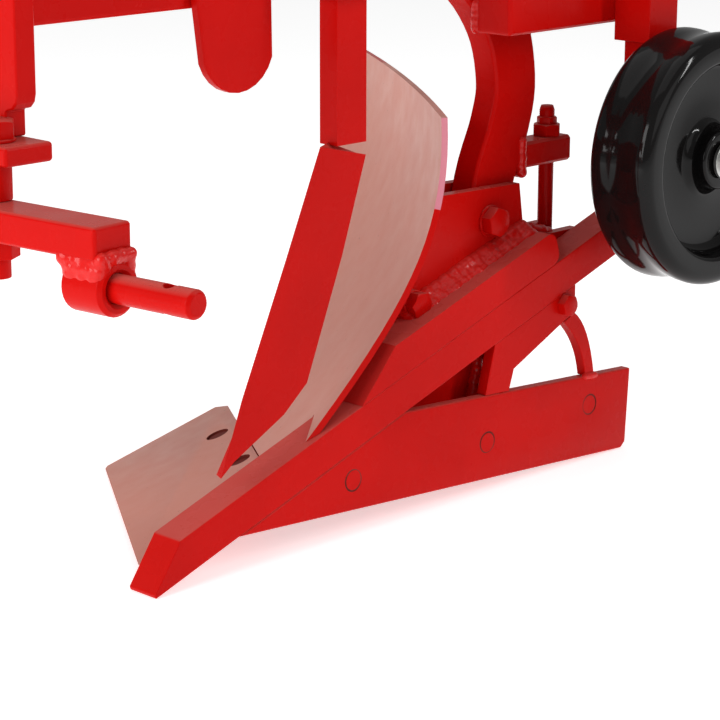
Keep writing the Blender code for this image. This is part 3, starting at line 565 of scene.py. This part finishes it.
def turned_part(outline, place, axis, steps=48, sharp=30):
    """Sweeps an outline of (radius, height) pairs round an axis; it starts and ends at radius 0."""
    bpy.ops.mesh.primitive_grid_add(x_subdivisions=steps, y_subdivisions=len(outline) - 1, size=1)
    piece = bpy.context.object
    for vert in piece.data.vertices:
        round_way = math.tau * (vert.co.x + 0.5)
        radius, height = outline[round((vert.co.y + 0.5) * (len(outline) - 1))]
        vert.co = (radius * math.cos(round_way), radius * math.sin(round_way), height)
    piece.location = place
    piece.rotation_euler = facing(axis)
    apply_all(piece)
    bpy.ops.object.mode_set(mode="EDIT")
    bpy.ops.mesh.select_all(action="SELECT")
    bpy.ops.mesh.remove_doubles(threshold=MERGE_WITHIN)
    bpy.ops.mesh.normals_make_consistent(inside=False)
    bpy.ops.object.mode_set(mode="OBJECT")
    bpy.ops.object.shade_smooth_by_angle(angle=math.radians(sharp))
    return piece


def corner(radius, height, size, start, end, steps=5):
    """Points of a rounded corner about its own centre."""
    angles = [math.radians(start + (end - start) * i / steps) for i in range(steps + 1)]
    return [(radius + size * math.cos(a), height + size * math.sin(a)) for a in angles]


# %% [markdown]
# The gauge wheel is two shells pressed from sheet and joined back to back. Its section shows it: a
# rolled bead at each rim, a slight waist between them, a deep dish with a generous fillet, and a hub.
# Black gloss on such curves gives long bending highlights, so the fillets need many steps.

# %% Gauge wheel
wheel_low, wheel_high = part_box("gauge_wheel")
wheel_centre = (wheel_low + wheel_high) / 2
RIM = (wheel_high.z - wheel_low.z) / 2
HALF = (wheel_high.y - wheel_low.y) / 2 - 0.0012
half_section = [(0.0, HALF - 0.004), (0.016, HALF - 0.004)]
half_section += corner(0.026, HALF - 0.007, 0.003, 90, 0)
half_section += corner(0.041, HALF - 0.013, 0.012, 180, 262, 6)
half_section += corner(0.084, HALF - 0.0135, 0.0115, 278, 352, 8)
half_section += corner(0.1005, HALF - 0.0050, 0.0050, 172, 90, 5)
half_section += corner(RIM - 0.0125, HALF - 0.0125, 0.0125, 90, 0, 8)
half_section += [(RIM - 0.0006, HALF - 0.0200), (RIM - 0.0022, HALF - 0.0270), (RIM - 0.0034, HALF - 0.0330)]
section = half_section + [(radius, -height) for radius, height in reversed(half_section)]
wheel = turned_part(section, wheel_centre, (0, 1, 0), 96, 40)
hand_over(wheel, "pressed_wheel", gloss_black, "gauge_wheel", ["gauge_wheel"])
print("wheel radius", round(RIM, 4), "faces", len(wheel.data.polygons))

# %% [markdown]
# The axle carries a collar behind the wheel and a plain washer and nut in front of it. The rod that
# sets the pitch of the body is threaded all along, with shallow rings standing in for the thread.

# %% Axle, pitch rod and top link pin
axle_low, axle_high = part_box("wheel_axle")
reach = axle_high.y - axle_low.y
gap_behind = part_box("gauge_wheel")[0].y - axle_low.y
axle_outline = [(0, 0), (0.018, 0)] + corner(0.018, 0.002, 0.002, -90, 0, 3)
axle_outline += [(0.020, gap_behind - 0.001), (0.0125, gap_behind - 0.001), (0.0125, reach - 0.011)]
axle_outline += [(0.0185, reach - 0.011), (0.0185, reach - 0.008)]
axle_outline += [(0.011, reach - 0.008), (0.011, reach - 0.002)]
axle_outline += [(0.009, reach - 0.0002), (0, reach - 0.0002)]
axle_place = Vector((wheel_centre.x, axle_low.y, wheel_centre.z))
axle = turned_part(axle_outline, axle_place, (0, 1, 0), 48)
hand_over(axle, "axle_with_collar", zinc_steel, "wheel_post", ["wheel_axle"])
nut_place = axle_place + Vector((0, reach - 0.0085, 0))
hexagon("axle_nut", nut_place, LAND, 0.019, zinc_steel, 0.0, 12, "wheel_post")

rod_low, rod_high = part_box("pitch_rod")
rod_middle = (rod_low + rod_high) / 2
length = rod_high.z - rod_low.z
rod_outline = [(0, 0), (0.0066, 0)]
rings = int((length - 0.004) / 0.001)
rod_outline += [(0.0079 if ring % 2 else 0.00755, 0.0015 + ring * 0.001) for ring in range(rings)]
rod_outline += [(0.0062, length - 0.0002), (0, length - 0.0002)]
rod = turned_part(rod_outline, (rod_middle.x, rod_middle.y, rod_low.z), (0, 0, 1), 28, 80)
hand_over(rod, "threaded_rod", gloss_red, "plough", ["pitch_rod"])
nut_place = Vector((rod_middle.x, rod_middle.y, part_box("pitch_nut")[0].z))
hexagon("rod_nut", nut_place, (0, 0, 1), 0.0262, gloss_red, 0.0, 8, "plough", ["pitch_nut"])
hexagon("rod_nut_thin", nut_place + Vector((0, 0, 0.0112)), (0, 0, 1), 0.0180, gloss_red, 0.0, 30)

pin_low, pin_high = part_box("top_link_pin")
pin_length = pin_high.y - pin_low.y
pin_middle = (pin_low + pin_high) / 2
pin_outline = [(0, 0), (0.0075, 0), (0.0092, 0.002), (0.0092, pin_length - 0.0066)]
pin_outline += [(0.0145, pin_length - 0.0066)]
pin_outline += corner(0.0125, pin_length - 0.0022, 0.002, 0, 90, 4) + [(0, pin_length - 0.0002)]
top_pin = turned_part(pin_outline, (pin_middle.x, pin_low.y, pin_middle.z), (0, 1, 0), 40)
hand_over(top_pin, "top_link_pin_turned", zinc_steel, "plough", ["top_link_pin"])
print("pin length", round(pin_length, 4), "rod length", round(length, 4))

# %% [markdown]
# A weld bead is a row of overlapping puddles. Laying small balls along the joint, each a little out
# of line and size, and melting them together with a voxel remesh gives that lumpy, wet look, and it
# works for a straight seam and for a heap of weld round a boss alike.

# %% Weld beads


def melted(name, puddles, voxel, settle=4):
    """Puddles are (place, radius) pairs; they are merged into one skin."""
    first, size = puddles[0]
    bpy.ops.mesh.primitive_ico_sphere_add(subdivisions=2, radius=size, location=first)
    bead = bpy.context.object
    bpy.ops.object.transform_apply(location=True, rotation=True, scale=True)
    bpy.ops.object.mode_set(mode="EDIT")
    for place, size in puddles[1:]:
        bpy.ops.mesh.primitive_ico_sphere_add(subdivisions=2, radius=size, location=place)
    bpy.ops.object.mode_set(mode="OBJECT")
    melt = bead.modifiers.new("melt", "REMESH")
    melt.mode = "VOXEL"
    melt.voxel_size = voxel
    calm = bead.modifiers.new("calm", "SMOOTH")
    calm.factor = 0.5
    calm.iterations = settle
    apply_all(bead)
    bpy.ops.object.shade_smooth()
    return hand_over(bead, name, weld_red)


def seam(points, radius, chance, pitch=0.42, wander=0.09):
    """Puddles laid along a run of points."""
    puddles = []
    for start, end in zip(points, points[1:]):
        count = max(2, int((end - start).length / (radius * pitch)))
        for i in range(count):
            place = start.lerp(end, i / count)
            slip = Vector([chance.uniform(-wander, wander) for _ in range(3)]) * radius
            puddles.append((place + slip, radius * chance.uniform(0.84, 1.12)))
    puddles.append((points[-1], radius))
    return puddles


BAR_SLOPE = math.radians(18.6)
RAIL_TOP = 0.0683


def on_bar(s, t, y):
    """A place s behind the tip along the bar, t above its underside."""
    x = -s * math.cos(BAR_SLOPE) + t * math.sin(BAR_SLOPE)
    return at(x, y, s * math.sin(BAR_SLOPE) + t * math.cos(BAR_SLOPE))


chance = random.Random(7)
rail_seam = []
for y, rise in ((-0.0350, 0.0030), (-0.0300, -0.0010), (-0.0240, -0.0048)):
    row = [on_bar(0.388, RAIL_TOP + rise, y), on_bar(0.568, RAIL_TOP + rise, y)]
    rail_seam += seam(row, 0.0085, chance, 0.25, 0.07)
melted("rail_weld", rail_seam, 0.0010, 8)
seam_back = seam([at(-0.1850, -0.0380, 0.0640), at(-0.2850, -0.1950, 0.0500)], 0.0050, chance)
melted("share_joint_weld", seam_back, 0.0010)
triangle_seam = seam([at(-0.4500, -0.0330, 0.128), at(-0.4420, -0.0325, 0.088)], 0.0068, chance, 0.7, 0.25)
melted("foot_weld", triangle_seam, 0.0011)
lug_seam = seam([at(-0.5300, -0.0490, 0.3010), at(-0.5300, -0.0485, 0.3320)], 0.0055, chance)
lug_seam += seam([at(-0.5310, -0.0490, 0.3010), at(-0.5310, -0.0760, 0.3010)], 0.0055, chance)
melted("lug_weld", lug_seam, 0.0010)
rod_heap = seam([at(-0.5700, -0.0475, 0.2330), at(-0.5420, -0.0460, 0.2420)], 0.0070, chance)
rod_heap += seam([at(-0.6000, -0.0480, 0.2270), at(-0.5700, -0.0475, 0.2330)], 0.0050, chance)
melted("rod_foot_weld", rod_heap, 0.0011)
head_seam = seam([at(0.2130, 0.0160, 0.4430), at(0.2130, 0.0870, 0.4430)], 0.0052, chance)
melted("left_lug_plate_weld", head_seam, 0.0010)
head_seam = seam([at(0.2130, -0.2640, 0.4430), at(0.2130, -0.3350, 0.4430)], 0.0052, chance)
melted("right_lug_plate_weld", head_seam, 0.0010)
beam_seam = seam([at(0.1910, -0.0470, 0.5030), at(0.1910, -0.0470, 0.5570)], 0.0052, chance)
beam_seam += seam([at(0.1910, -0.0490, 0.5000), at(0.1910, -0.0760, 0.5000)], 0.0052, chance)
beam_seam += seam([at(0.1910, -0.0782, 0.5030), at(0.1910, -0.0782, 0.5570)], 0.0052, chance)
melted("beam_end_weld", beam_seam, 0.0010)
for side, y in (("left", -0.0875), ("right", -0.1605)):
    mast_seam = seam([at(0.2130, y, 0.4740), at(0.2130, y, 0.5570)], 0.0048, chance)
    melted(f"mast_{side}_weld", mast_seam, 0.0010)
brace_seam = seam([at(-0.5960, -0.0010, 0.0880), at(-0.5800, -0.0010, 0.0892)], 0.0038, chance)
melted("brace_weld", brace_seam, 0.0008)
bracket_seam = seam([at(-0.4570, -0.0465, 0.4500), at(-0.4570, -0.0465, 0.4900)], 0.0050, chance)
melted("bracket_weld", bracket_seam, 0.0010)

# %% [markdown]
# Each hitch boss hangs under the end of the crossbar on a saddle of weld. The same melting makes it:
# close rows of balls fill the corners in front of the boss and behind it, shorter rows close its
# inner end, and one looser, rougher row closes the outer end.

# %% Saddle welds of the hitch bosses
YAW = math.radians(5.3)
WEB_ROWS = ((0.0025, 0.0120, 0.0078), (0.0070, 0.0135, 0.0070), (0.0120, 0.0152, 0.0052))
for side, name in ((1, "left"), (-1, "right")):
    boss_low, boss_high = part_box("hitch_boss_" + name)
    boss = (boss_low + boss_high) / 2
    bar_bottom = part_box("crossbar")[0].z
    along = Vector((-math.sin(YAW), math.cos(YAW), 0)) * side
    ahead = Vector((math.cos(YAW), math.sin(YAW), 0))
    puddles = []
    for face in (1, -1):
        for drop, out, size in WEB_ROWS:
            line = boss + ahead * face * out
            line.z = bar_bottom - drop
            puddles += seam([line - along * 0.0165, line + along * 0.0145], size, chance, 0.2, 0.02)
    inner = boss - along * 0.0205
    inner.z = bar_bottom - 0.0010
    puddles += seam([inner - ahead * 0.0130, inner + ahead * 0.0130], 0.0075, chance, 0.3, 0.03)
    inner.z = bar_bottom - 0.0095
    puddles += seam([inner - ahead * 0.0100, inner + ahead * 0.0100], 0.0048, chance, 0.3, 0.03)
    outer = boss + along * 0.0170
    outer.z = bar_bottom + 0.0015
    puddles += seam([outer - ahead * 0.0150, outer + ahead * 0.0140], 0.0058, chance, 0.50, 0.16)
    melted(f"saddle_weld_{name}", puddles, 0.0010, 9)

# %% Clear away the pattern pieces
bpy.data.objects.remove(crowned_hexagon)
